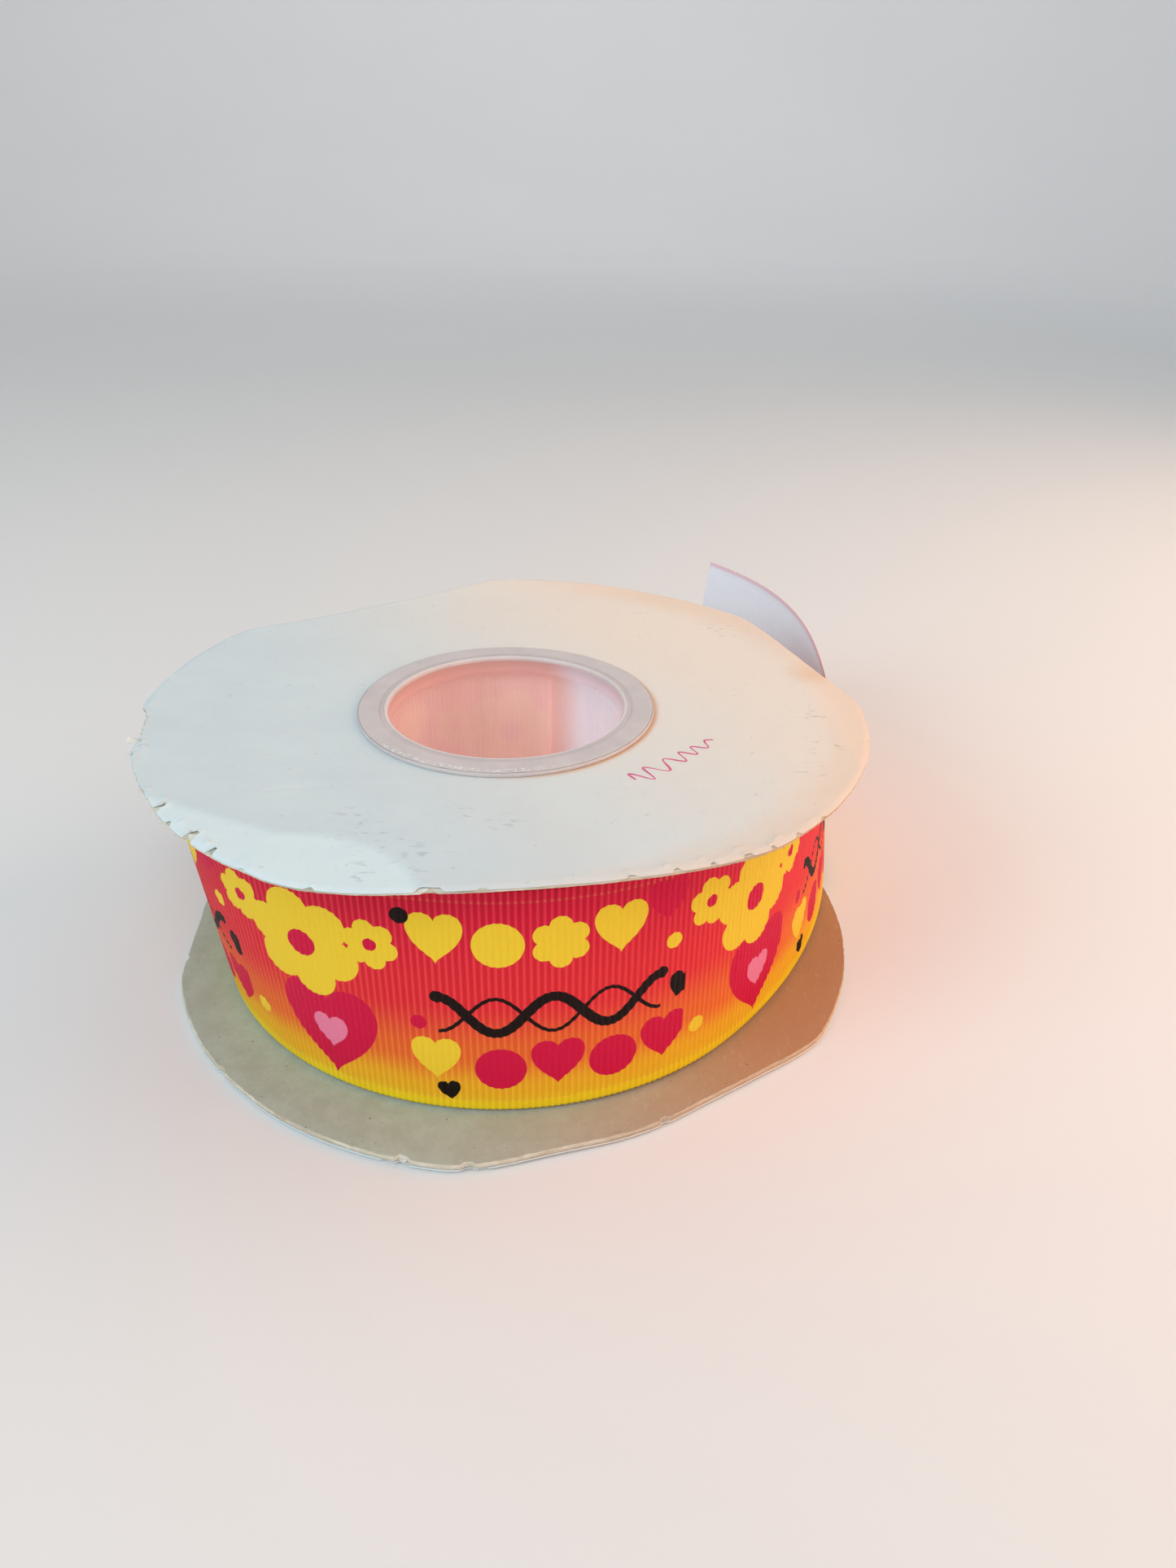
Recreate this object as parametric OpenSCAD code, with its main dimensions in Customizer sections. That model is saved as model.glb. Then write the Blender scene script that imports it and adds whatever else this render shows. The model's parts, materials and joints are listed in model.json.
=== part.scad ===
// Ribbon spool: two die-cut card flanges turning on a two-part plastic hub,
// wound with printed grosgrain ribbon whose free end stands off the roll.
// The hub axis is +Z and the origin is on it, at the underside of the lower rim.

/* [Hub] */
// Diameter of the spindle bore
bore_d = 38.4; // [36:0.1:42]
// Wall of the inner sleeve
inner_wall = 1.1; // [0.8:0.1:1.5]
// Wall of the outer sleeve
outer_wall = 1.1; // [0.8:0.1:1.5]
// Outside diameter of each rim
rim_d = 48.4; // [47:0.2:54]
// Thickness of each rim, which is how far it stands proud of its flange
rim_t = 0.7; // [0.6:0.1:1.2]
// Rounding of the rim edges
rim_round = 0.3; // [0.2:0.1:0.5]

/* [Flanges] */
// Diameter of the round part of each flange
flange_d = 117.2; // [112:0.2:122]
// Thickness of the chipboard
board_t = 1.15; // [0.9:0.05:1.5]
// Thickness of the white paper liner
liner_t = 0.25; // [0.15:0.05:0.35]
// How far the upper flange's edge is dished up
top_dish = 1.2; // [0:0.1:2]
// How far the lower flange's edge is dished down
bottom_dish = 0.5; // [0:0.1:0.8]
// Radial clearance of the flanges on the hub
running_gap = 0.08; // [0.05:0.01:0.1]

/* [Ribbon] */
// Width of the ribbon
ribbon_w = 38.1; // [37.5:0.1:38.4]
// Thickness of the ribbon
ribbon_t = 0.4; // [0.3:0.05:0.5]
// Diameter of the wound roll
roll_d = 99.2; // [80:0.4:104]
// Direction, from the axis, in which the free end leaves the roll
take_off_angle = -43; // [-50:1:-35]
// Length from the take-off to where the free end flexes
flex_length = 60; // [55:1:65]
// Length of the free end beyond that
tail_length = 73.4; // [50:0.2:80]
// Radius of the curl in the free end
curl_r = 90; // [85:1:95]

/* [Start tape] */
// Thickness of the tape that holds the first turn
tape_t = 0.15; // [0.1:0.05:0.2]
// Height of the tape
tape_h = 37; // [20:1:38]
// Angle that the tape covers round the hub
tape_sweep = 58; // [20:1:70]

/* [Hidden] */
$fn = 128;

// Gap under the ribbon, gap over it, and gap between each rim and its flange
under_gap = 0.25;
over_gap = 1.1;
rim_gap = 0.05;

// Flats of each flange: direction from the axis, then distance from the outline's centre
bottom_flats = [[-56, 54.3], [-73, 55.1], [60, 55.2], [186, 57.2]];
top_flats = [[-82, 54.2], [22, 55.4], [124, 52.5]];
// Where each outline's centre lies from the hub axis
bottom_centre = [1.2, -0.8];
top_centre = [0, 0.6];

bore_r = bore_d / 2;
lap_r = bore_r + inner_wall;
sleeve_r = lap_r + outer_wall;
hole_r = sleeve_r + running_gap;
rim_r = rim_d / 2;
flange_r = flange_d / 2;
flange_t = board_t + liner_t;

// Heights of the stack, from the underside of the lower rim
bottom_liner_z = rim_t + rim_gap;
bottom_board_z = bottom_liner_z + liner_t;
ribbon_z = bottom_board_z + board_t + under_gap;
top_board_z = ribbon_z + ribbon_w + over_gap;
top_liner_z = top_board_z + board_t;
upper_rim_z = top_liner_z + liner_t + rim_gap;
hub_h = upper_rim_z + rim_t;
rim_steps = 6;

// The roll, and the line along which the free end leaves it
core_r = sleeve_r + tape_t;
roll_r = roll_d / 2;
take_off_r = roll_r - ribbon_t;
flex_gap = 0.3;
step_length = 2.5;
tape_start = 14;

// Heading of the free end after a length s, then the point reached there
function heading(s) =
    90 + take_off_angle + s / curl_r * 180 / PI;
function path_point(s, ds = 0.5) =
    s <= 0
        ? take_off_r * [cos(take_off_angle), sin(take_off_angle)]
        : path_point(s - ds, ds) + ds * [cos(heading(s - ds / 2)), sin(heading(s - ds / 2))];

// Points along one side of the free end between lengths a and b
function side_points(a, b, side) = [
    for (i = [0 : ceil((b - a) / step_length)])
        let (s = a + (b - a) * i / ceil((b - a) / step_length))
            path_point(round(s * 2) / 2)
            + side * ribbon_t / 2 * [sin(heading(s)), -cos(heading(s))]
];
function reversed(list) = [for (i = [len(list) - 1 : -1 : 0]) list[i]];

// A stretch of ribbon standing on edge, between lengths a and b
module ribbon_stretch(a, b) {
    translate([0, 0, ribbon_z])
        linear_extrude(ribbon_w)
            polygon(concat(side_points(a, b, 1), reversed(side_points(a, b, -1))));
}

// Plan shape of a flange: a disc with straight edges
module flange_outline(flats, centre) {
    translate(centre)
        difference() {
            circle(r = flange_r);
            for (flat = flats)
                rotate(flat[0])
                    translate([flat[1], -flange_r])
                        square([flange_r, 2 * flange_r]);
        }
}

// A dished layer of a flange, of thickness t above height z
module flange_layer(z, t, dish, flats, centre) {
    reach = flange_r + 5;
    rise = dish * (reach - rim_r) / (flange_r - rim_r);
    intersection() {
        rotate_extrude()
            polygon([
                [hole_r, z],
                [rim_r, z],
                [reach, z + rise],
                [reach, z + rise + t],
                [rim_r, z + t],
                [hole_r, z + t],
            ]);
        translate([0, 0, z - 5])
            linear_extrude(t + 10)
                flange_outline(flats, centre);
    }
}

// Rounded outer corner of a rim: the rounding's centre height, then its first and last angle
function rim_corner(z, from, to) = [
    for (i = [0 : rim_steps])
        let (a = from + (to - from) * i / rim_steps)
            [rim_r - rim_round + rim_round * cos(a), z + rim_round * sin(a)]
];

// Lower rim with the outer sleeve that the flanges turn on
module hub_lower() {
    color("gainsboro")
        rotate_extrude()
            polygon(concat(
                [[bore_r, rim_t], [bore_r, 0]],
                rim_corner(rim_round, -90, 0),
                [
                    [rim_r, rim_t],
                    [sleeve_r, rim_t],
                    [sleeve_r, upper_rim_z],
                    [lap_r, upper_rim_z],
                    [lap_r, rim_t],
                ]
            ));
}

// Upper rim with the inner sleeve, which is pressed down inside the outer one
module hub_upper() {
    color("whitesmoke")
        rotate_extrude()
            polygon(concat(
                [[bore_r, rim_t], [lap_r, rim_t], [lap_r, upper_rim_z], [rim_r, upper_rim_z]],
                rim_corner(hub_h - rim_round, 0, 90),
                [[bore_r + rim_round, hub_h], [bore_r, hub_h - rim_round]]
            ));
}

module bottom_liner() {
    color("white")
        flange_layer(bottom_liner_z, liner_t, -bottom_dish, bottom_flats, bottom_centre);
}

module bottom_board() {
    color("tan")
        flange_layer(bottom_board_z, board_t, -bottom_dish, bottom_flats, bottom_centre);
}

module top_board() {
    color("tan")
        flange_layer(top_board_z, board_t, top_dish, top_flats, top_centre);
}

module top_liner() {
    color("white")
        flange_layer(top_liner_z, liner_t, top_dish, top_flats, top_centre);
}

module ribbon_roll() {
    color("crimson")
        union() {
            translate([0, 0, ribbon_z])
                difference() {
                    cylinder(r = roll_r, h = ribbon_w);
                    translate([0, 0, -1])
                        cylinder(r = core_r, h = ribbon_w + 2);
                }
            ribbon_stretch(0, flex_length - flex_gap);
        }
}

module ribbon_tail() {
    color("orange")
        ribbon_stretch(flex_length + flex_gap, flex_length + tail_length);
}

module start_tape() {
    color("lavender")
        translate([0, 0, ribbon_z + (ribbon_w - tape_h) / 2])
            rotate(tape_start)
                rotate_extrude(angle = tape_sweep)
                    translate([sleeve_r, 0])
                        square([tape_t, tape_h]);
}

hub_lower();
hub_upper();
bottom_liner();
bottom_board();
top_board();
top_liner();
ribbon_roll();
ribbon_tail();
start_tape();
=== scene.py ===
import json
import math

import bmesh
import bpy
import numpy as np
from mathutils import Matrix, Vector


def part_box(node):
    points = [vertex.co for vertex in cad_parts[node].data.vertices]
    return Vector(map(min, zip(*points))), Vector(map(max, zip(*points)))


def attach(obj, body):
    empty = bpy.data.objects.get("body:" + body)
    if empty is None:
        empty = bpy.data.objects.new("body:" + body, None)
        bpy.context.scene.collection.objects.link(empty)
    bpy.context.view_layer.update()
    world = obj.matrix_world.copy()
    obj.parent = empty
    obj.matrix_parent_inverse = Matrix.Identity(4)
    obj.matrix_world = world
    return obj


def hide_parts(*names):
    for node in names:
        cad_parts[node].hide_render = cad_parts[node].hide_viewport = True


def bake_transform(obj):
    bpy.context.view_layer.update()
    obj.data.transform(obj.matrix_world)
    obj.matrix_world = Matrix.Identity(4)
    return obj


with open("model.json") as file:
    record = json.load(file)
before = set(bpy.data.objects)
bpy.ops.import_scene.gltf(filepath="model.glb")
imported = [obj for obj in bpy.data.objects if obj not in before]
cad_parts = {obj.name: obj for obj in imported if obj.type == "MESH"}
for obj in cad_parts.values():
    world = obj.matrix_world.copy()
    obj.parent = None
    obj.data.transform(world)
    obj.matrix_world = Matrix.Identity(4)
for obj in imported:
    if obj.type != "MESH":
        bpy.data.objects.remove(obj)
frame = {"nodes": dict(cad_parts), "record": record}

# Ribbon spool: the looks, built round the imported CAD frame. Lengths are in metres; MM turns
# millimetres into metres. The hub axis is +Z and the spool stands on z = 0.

MM = 0.001
TURN = 2 * math.pi
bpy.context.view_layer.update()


# ---------------------------------------------------------------- sizes from the frame

def low(node):
    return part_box(node)[0]


def high(node):
    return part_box(node)[1]


def mount(name):
    return next(m for m in frame["record"]["mounts"] if m["name"] == name)


BORE_R = mount("spindle_bore")["dims"]["r_mm"] * MM
RIM_R = high("hub_upper").x
SLEEVE_R = 21.4 * MM
RUNNING_GAP = 0.08 * MM
HOLE_R = SLEEVE_R + RUNNING_GAP
HUB_TOP = high("hub_upper").z
SLEEVE_TOP = high("hub_lower").z
RIM_T = HUB_TOP - SLEEVE_TOP
RIBBON_LOW = low("ribbon_roll").z
RIBBON_HIGH = high("ribbon_roll").z
RIBBON_W = RIBBON_HIGH - RIBBON_LOW
ROLL_R = -low("ribbon_roll").x

# Heights and thicknesses of the flange layers at the hub
LINER_T = 0.25 * MM
BOARD_T = 1.15 * MM
RIM_GAP = 0.05 * MM
LOWER_LINER_Z = RIM_T + RIM_GAP
LOWER_BOARD_Z = LOWER_LINER_Z + LINER_T
UPPER_BOARD_Z = low("top_board").z
UPPER_LINER_Z = low("top_liner").z

# Outline of each flange: flats are (direction, distance from the centre, softness of its ends)
FLANGE_R = 58.6 * MM
TOP_FLATS = [(-82, 54.6, 8.5), (22, 55.4, 0.9), (124, 52.5, 0.4)]
TOP_CENTRE = (0.0, 0.6)
TOP_DISH = 1.2 * MM
BOTTOM_FLATS = [(-56, 54.4, 2.0), (-73, 55.2, 2.0), (60, 55.2, 0.9), (186, 57.2, 0.9)]
BOTTOM_CENTRE = (1.2, -0.8)
BOTTOM_DISH = -0.5 * MM
# How much thinner each flange's board is pressed at its edge
TOP_PINCH = 0.55 * MM
BOTTOM_PINCH = 0.12 * MM

# The ribbon: one strip, wound clockwise inwards from its free end
RIBBON_T = 0.33 * MM
RIB_HEIGHT = 0.12 * MM
TAKE_OFF_ANGLE = math.radians(-43)
TAKE_OFF_R = ROLL_R - 0.4 * MM
CURL_R = 90 * MM
TAPE_MIDDLE = math.radians(43)
FREE_LENGTH = 133.4 * MM
# The slant of the free end's cut end
END_SLANT = 5 * MM

# The print: how long one repeat is, the units it is drawn in, and where a repeat starts
REPEAT = 69.9 * MM
REPEAT_UNITS = 71
PRINT_START = 80.7 * MM / REPEAT + 10
RIBS_PER_REPEAT = 74
RIB_PITCH = REPEAT / RIBS_PER_REPEAT
RIBS_PER_UNIT = RIBS_PER_REPEAT / REPEAT_UNITS


# ---------------------------------------------------------------- camera

CAMERA_LENS = 25.6
CAMERA_PLACE = (0.01357, -0.16604, 0.1218)
CAMERA_TILT = math.radians(60.72)
CAMERA_ROLL = math.radians(0.9)


def make_camera():
    """In front of the spool, a little to its right, looking down 29 degrees."""
    data = bpy.data.cameras.new("camera")
    data.lens = CAMERA_LENS
    data.sensor_width = 36
    data.clip_start = 0.01
    camera = bpy.data.objects.new("camera", data)
    tilt = Matrix.Rotation(CAMERA_TILT, 4, "X")
    roll = Matrix.Rotation(CAMERA_ROLL, 4, "Z")
    camera.matrix_world = Matrix.Translation(CAMERA_PLACE) @ tilt @ roll
    bpy.context.scene.collection.objects.link(camera)
    bpy.context.scene.camera = camera


make_camera()


# ---------------------------------------------------------------- small tools

def linear(r, g, b, a=1.0):
    """A colour given as 0 to 255 in sRGB, as the linear colour that the shaders take."""
    def channel(value):
        value = value / 255
        return value / 12.92 if value <= 0.04045 else ((value + 0.055) / 1.055) ** 2.4
    return (channel(r), channel(g), channel(b), a)


def smooth(x, start, end):
    """0 before start and 1 after end, with a smooth step between."""
    t = np.clip((x - start) / (end - start), 0, 1)
    return t * t * (3 - 2 * t)


def ripple(x, y, size, seed, waves=7):
    """A smooth random field of about unit height whose bumps are size metres across."""
    rng = np.random.default_rng(seed)
    total = np.zeros(np.broadcast(x, y).shape)
    for _ in range(waves):
        angle = rng.uniform(0, TURN)
        step = TURN / (size * rng.uniform(0.6, 1.7))
        phase = rng.uniform(0, TURN)
        total += np.sin(step * (x * math.cos(angle) + y * math.sin(angle)) + phase)
    return total / math.sqrt(waves)


def jagged(angle, count, seed):
    """Random numbers from 0 to 1 at count places round a circle, joined by straight lines."""
    values = np.random.default_rng(seed).random(count)
    place = (angle % TURN) / TURN * count
    first = np.floor(place).astype(int)
    part = place - first
    return values[first % count] * (1 - part) + values[(first + 1) % count] * part


def new_object(name, mesh):
    obj = bpy.data.objects.new(name, mesh)
    bpy.context.scene.collection.objects.link(obj)
    return obj


def grid_object(name, points, wrap_rows, wrap_columns, uv=None, slot_of_row=None):
    """A mesh of quads through a rows x columns x 3 array of points."""
    rows, columns = points.shape[:2]
    index = np.arange(rows * columns).reshape(rows, columns)
    if wrap_rows:
        index = np.vstack([index, index[:1]])
    if wrap_columns:
        index = np.hstack([index, index[:, :1]])
    quads = np.stack([index[:-1, :-1], index[:-1, 1:], index[1:, 1:], index[1:, :-1]], axis=-1)
    faces = quads.reshape(-1, 4)
    mesh = bpy.data.meshes.new(name)
    mesh.from_pydata(points.reshape(-1, 3).tolist(), [], faces.tolist())
    if uv is not None:
        layer = mesh.uv_layers.new(name="ribbon_uv")
        corners = uv.reshape(-1, 2)[faces.reshape(-1)]
        layer.data.foreach_set("uv", corners.astype(np.float32).reshape(-1))
    mesh.polygons.foreach_set("use_smooth", np.ones(len(faces), bool))
    if slot_of_row is not None:
        slots = np.repeat(np.asarray(slot_of_row)[: quads.shape[0]], quads.shape[1])
        mesh.polygons.foreach_set("material_index", slots.astype(np.int32))
    mesh.update()
    return new_object(name, mesh)


def close_ends(obj, rows, columns):
    """Fills the two open ends of a tube of rows x columns points."""
    mesh = obj.data
    first = [r * columns for r in range(rows)]
    last = [r * columns + columns - 1 for r in range(rows)]
    work = bmesh.new()
    work.from_mesh(mesh)
    work.verts.ensure_lookup_table()
    work.faces.new([work.verts[i] for i in first])
    work.faces.new([work.verts[i] for i in reversed(last)])
    bmesh.ops.recalc_face_normals(work, faces=work.faces)
    work.to_mesh(mesh)
    work.free()


def dress(obj, *materials):
    for material in materials:
        obj.data.materials.append(material)


# ---------------------------------------------------------------- shader arithmetic

class Field:
    """A number that varies over a surface, so that a pattern can be written as arithmetic."""

    def __init__(self, tree, socket):
        self.tree = tree
        self.socket = socket

    def node(self, operation, *values):
        made = self.tree.nodes.new("ShaderNodeMath")
        made.operation = operation
        for place, value in enumerate((self,) + values):
            if isinstance(value, Field):
                self.tree.links.new(value.socket, made.inputs[place])
            else:
                made.inputs[place].default_value = value
        return Field(self.tree, made.outputs[0])

    def __add__(self, other):
        return self.node("ADD", other)

    def __sub__(self, other):
        return self.node("SUBTRACT", other)

    def __mul__(self, other):
        return self.node("MULTIPLY", other)

    def __truediv__(self, other):
        return self.node("DIVIDE", other)

    def abs(self):
        return self.node("ABSOLUTE")

    def fract(self):
        return self.node("FRACT")

    def sin(self):
        return self.node("SINE")

    def cos(self):
        return self.node("COSINE")

    def hill(self, flat, foot):
        """1 within flat of zero on either side, falling smoothly to 0 at foot."""
        return self.abs().ramp(flat, foot, 1.0, 0.0)

    def angle_to(self, across):
        """The angle of the point (across, self) from the first axis, in radians."""
        return self.node("ARCTAN2", across)

    def sqrt(self):
        return self.node("SQRT")

    def least(self, other):
        return self.node("MINIMUM", other)

    def most(self, other):
        return self.node("MAXIMUM", other)

    def ramp(self, start, end, low_value=0.0, high_value=1.0):
        """low_value before start and high_value after end, with a smooth step between."""
        made = self.tree.nodes.new("ShaderNodeMapRange")
        made.interpolation_type = "SMOOTHSTEP"
        self.tree.links.new(self.socket, made.inputs["Value"])
        made.inputs["From Min"].default_value = start
        made.inputs["From Max"].default_value = end
        made.inputs["To Min"].default_value = low_value
        made.inputs["To Max"].default_value = high_value
        return Field(self.tree, made.outputs[0])


class Shader:
    """A material with one Principled shader, and short names for the nodes used here."""

    def __init__(self, name):
        self.material = bpy.data.materials.new(name)
        self.material.use_nodes = True
        self.tree = self.material.node_tree
        self.surface = next(n for n in self.tree.nodes if n.type == "BSDF_PRINCIPLED")

    def set(self, **values):
        for name, value in values.items():
            self.surface.inputs[name.replace("_", " ")].default_value = value

    def link(self, source, name):
        socket = source.socket if isinstance(source, Field) else source
        self.tree.links.new(socket, self.surface.inputs[name])

    def place(self):
        """X, Y and Z in millimetres in the object's own space, which is the shared frame."""
        coordinates = self.tree.nodes.new("ShaderNodeTexCoord")
        split = self.tree.nodes.new("ShaderNodeSeparateXYZ")
        self.tree.links.new(coordinates.outputs["Object"], split.inputs[0])
        return [Field(self.tree, split.outputs[i]) * 1000 for i in range(3)]

    def ribbon_place(self):
        """Place along the ribbon in print units, and height across it in millimetres."""
        coordinates = self.tree.nodes.new("ShaderNodeUVMap")
        coordinates.uv_map = "ribbon_uv"
        split = self.tree.nodes.new("ShaderNodeSeparateXYZ")
        self.tree.links.new(coordinates.outputs[0], split.inputs[0])
        return (
            Field(self.tree, split.outputs[0]) * REPEAT_UNITS,
            Field(self.tree, split.outputs[1]) * (RIBBON_W / MM),
        )

    def noise(self, scale, detail=2.0, roughness=0.5, stretch=(1, 1, 1), distortion=0.0):
        """Noise in the object's own space; scale is in bumps per metre."""
        coordinates = self.tree.nodes.new("ShaderNodeTexCoord")
        mapping = self.tree.nodes.new("ShaderNodeMapping")
        mapping.inputs["Scale"].default_value = stretch
        made = self.tree.nodes.new("ShaderNodeTexNoise")
        made.inputs["Scale"].default_value = scale
        made.inputs["Detail"].default_value = detail
        made.inputs["Roughness"].default_value = roughness
        made.inputs["Distortion"].default_value = distortion
        self.tree.links.new(coordinates.outputs["Object"], mapping.inputs[0])
        self.tree.links.new(mapping.outputs[0], made.inputs["Vector"])
        return Field(self.tree, made.outputs["Fac"])

    def mix(self, share, first, second):
        """Colour first where share is 0 and colour second where it is 1."""
        made = self.tree.nodes.new("ShaderNodeMix")
        made.data_type = "RGBA"
        self.tree.links.new(share.socket, made.inputs["Factor"])
        for place, colour in (("A", first), ("B", second)):
            socket = next(s for s in made.inputs if s.name == place and s.type == "RGBA")
            if isinstance(colour, tuple):
                socket.default_value = colour
            else:
                self.tree.links.new(colour, socket)
        return next(s for s in made.outputs if s.type == "RGBA")

    def start(self, share, first, second):
        """The colour to begin with: first where share is 0 and second where it is 1."""
        self.colour = self.mix(share, linear(*first), linear(*second))

    def over(self, share, tint):
        """Lays a tint over the colour so far, by that share."""
        self.colour = self.mix(share, self.colour, linear(*tint))

    def gradient(self, share, stops):
        """A colour ramp through (place, colour) stops."""
        made = self.tree.nodes.new("ShaderNodeValToRGB")
        ramp = made.color_ramp
        ramp.interpolation = "EASE"
        while len(ramp.elements) < len(stops):
            ramp.elements.new(0.5)
        for element, (place, colour) in zip(ramp.elements, stops):
            element.position = place
            element.color = colour
        self.tree.links.new(share.socket, made.inputs[0])
        return made.outputs[0]

    def bump(self, height, distance):
        """Fine relief of distance metres where height is 1."""
        made = self.tree.nodes.new("ShaderNodeBump")
        made.inputs["Distance"].default_value = distance
        self.tree.links.new(height.socket, made.inputs["Height"])
        self.tree.links.new(made.outputs[0], self.surface.inputs["Normal"])


# ---------------------------------------------------------------- the ribbon's print

def disc(x, y, radius):
    """Distance outside a disc, in millimetres."""
    return (x * x + y * y).sqrt() - radius


def heart(x, y, radius):
    """About the distance outside a heart of that half-width."""
    across = x / radius
    up = (y / radius) * 1.12 - across.abs().sqrt() * 0.72
    return ((across * across + up * up).sqrt() - 1) * radius


def turned(x, y, degrees):
    """The point x, y seen from axes turned by that angle."""
    c = math.cos(math.radians(degrees))
    s = math.sin(math.radians(degrees))
    return x * c + y * s, y * c - x * s


def inside(distance, blur=0.05):
    return distance.ramp(-blur, blur, 1.0, 0.0)


INK = {
    "crimson": linear(212, 14, 66),
    "yellow": linear(244, 206, 52),
    "black": linear(8, 6, 6),
    "pink": linear(238, 130, 162),
}


def flower(x, y, radius, petals=6):
    """Distance outside a flower of round petals."""
    reach = (x * x + y * y).sqrt()
    turn = ((y.angle_to(x) * (petals / TURN)).fract() - 0.5) * (TURN / petals)
    petal = disc(reach * turn.cos() - radius * 0.60, reach * turn.sin(), radius * 0.38)
    return petal.least(reach - radius * 0.62)


def print_layers(u, v):
    """The printed motifs in one repeat, as (ink, share) from the lowest up. u runs along it."""
    layers = []

    def spot(ink, shape, x, y, size, turn=0):
        px, py = turned(u - x, v - y, turn)
        layers.append((ink, inside(shape(px, py, size))))

    # A posy of three yellow flowers over a large crimson heart
    spot("crimson", heart, 17.4, 8.6, 7.9)
    spot("pink", heart, 17.4, 9.4, 2.9)
    for x, y, size in ((14.6, 25.2, 9.2), (4.2, 29.4, 4.2), (25.4, 27.8, 4.2)):
        spot("yellow", flower, x, y, size, 14)
        spot("crimson", disc, x, y, size * 0.24)

    # Upper row: yellow hearts, discs and a flower
    row = ((heart, 3.9), (disc, 3.6), (flower, 4.3), (heart, 3.9))
    for number, (shape, size) in enumerate(row):
        spot("yellow", shape, 34.6 + 8.5 * number, 29.4, size)
    spot("crimson", heart, 67.3, 32.0, 3.3)
    spot("yellow", disc, 68.6, 25.3, 1.3)

    # Middle: a thick and a thin black line weaving over each other, with a heart at their end
    reach = (u - 50.6).abs() - 16.2
    phase = (u - 34.4) * (TURN / 16.2)
    for swing, half_width in ((3.0, 0.80), (-3.0, 0.30)):
        wave = v - 17.4 - phase.cos() * swing
        slope = phase.sin() * (swing * TURN / 16.2)
        line = wave.abs() / (slope * slope + 1).sqrt() - half_width
        layers.append(("black", inside(line.most(reach))))
    spot("black", disc, 34.4, 20.4, 1.0)
    spot("black", disc, 66.8, 20.4, 1.0)
    spot("black", heart, 70.0, 16.6, 2.2, -18)

    # Lower row: crimson discs and hearts, and the small dots and hearts between
    for number in range(4):
        shape, size = (disc, 3.7) if number % 2 == 0 else (heart, 3.9)
        spot("crimson", shape, 43.0 + 8.2 * number, 7.8, size)
    spot("crimson", disc, 31.6, 15.6, 1.2)
    spot("yellow", heart, 33.8, 8.6, 3.6)
    spot("black", heart, 35.6, 3.1, 1.7, 10)
    spot("black", disc, 30.0, 33.4, 1.3)
    spot("yellow", disc, 2.8, 7.8, 1.4)
    return layers


# The dyed ground from the lower edge up: place, colour on the ribs' crests, and in the valleys a
# darker colour that is painted shade
GROUND = [
    (0.02, (252, 226, 34), (246, 214, 26)),
    (0.12, (248, 190, 40), (240, 172, 34)),
    (0.28, (246, 122, 50), (230, 100, 42)),
    (0.52, (244, 64, 70), (218, 38, 48)),
    (0.95, (236, 44, 78), (198, 18, 48)),
]


def print_colour(shader):
    """The printed face: crimson fading through orange to yellow, with the motifs on it, and painted
    shade in the rib valleys.
    """
    along, v = shader.ribbon_place()
    u = (along / REPEAT_UNITS).fract() * REPEAT_UNITS
    # Painted shade: the valleys between the ribs take the darker colours of the ground.
    valley = ((along * RIBS_PER_UNIT).fract() - 0.5).abs().ramp(0.08, 0.32)
    up = (v + shader.noise(90, 1.0) * 2.4) / 40
    crest_ground = shader.gradient(up, [(place, linear(*crest)) for place, crest, _ in GROUND])
    valley_shaded_ground = shader.gradient(up, [(place, linear(*valley_shade)) for place, _, valley_shade in GROUND])
    colour = shader.mix(valley, crest_ground, valley_shaded_ground)
    for ink, share in print_layers(u, v):
        colour = shader.mix(share, colour, INK[ink])
    # A row of small loose loops runs along each selvedge
    from_edge = (v - RIBBON_W / MM / 2).abs() * -1 + RIBBON_W / MM / 2
    loop = (from_edge - 1.9).hill(0.10, 0.28)
    return shader.mix(loop * (valley * -0.10 + 0.12), colour, linear(255, 200, 120)), along, v


def ribbon_front():
    """Printed grosgrain: satin ribs, fine yarn, and the ink a little thin on the crests."""
    shader = Shader("ribbon_front")
    colour, _, _ = print_colour(shader)
    thin = shader.noise(5200, 3.0, 0.7, (1, 1, 0.12)).ramp(0.55, 0.85, 0.0, 0.05)
    shader.link(shader.mix(thin, colour, linear(255, 150, 130)), "Base Color")
    shader.link(shader.noise(3000, 2.0, 0.6, (1, 1, 0.2)).ramp(0.2, 0.8, 0.40, 0.56), "Roughness")
    shader.set(Specular_IOR_Level=0.20)
    shader.set(Specular_Tint=(1.0, 0.62, 0.60, 1))
    shader.bump(shader.noise(9000, 3.0, 0.7, (1, 1, 0.25)), 0.00004)
    return shader.material


def ribbon_back(name, show_through, tint, glow):
    """The unprinted side, on which the print shows through by that share. It is made to glow a
    little, painted light standing in for the light that comes through the cloth, and more inside the
    milky hub, which spreads light."""
    shader = Shader(name)
    colour, along, v = print_colour(shader)
    rib = (along * RIBS_PER_UNIT).fract()
    valley = (rib - 0.5).abs().ramp(0.05, 0.5, 0.0, 1.0)
    edge = v.ramp(RIBBON_W / MM - 1.2, RIBBON_W / MM - 0.2) * 0.4
    seen = shader.mix(valley * (show_through * 0.4) + show_through + edge, tint, colour)
    shader.link(seen, "Base Color")
    shader.link(seen, "Emission Color")
    shader.set(Emission_Strength=glow)
    shader.link(shader.noise(3000, 2.0, 0.6).ramp(0.2, 0.8, 0.45, 0.65), "Roughness")
    shader.set(Sheen_Weight=0.10, Sheen_Roughness=0.4, Specular_IOR_Level=0.3)
    shader.bump(shader.noise(9000, 3.0, 0.7, (1, 1, 0.25)), 0.00004)
    return shader.material


# ---------------------------------------------------------------- the ribbon's shape

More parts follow.
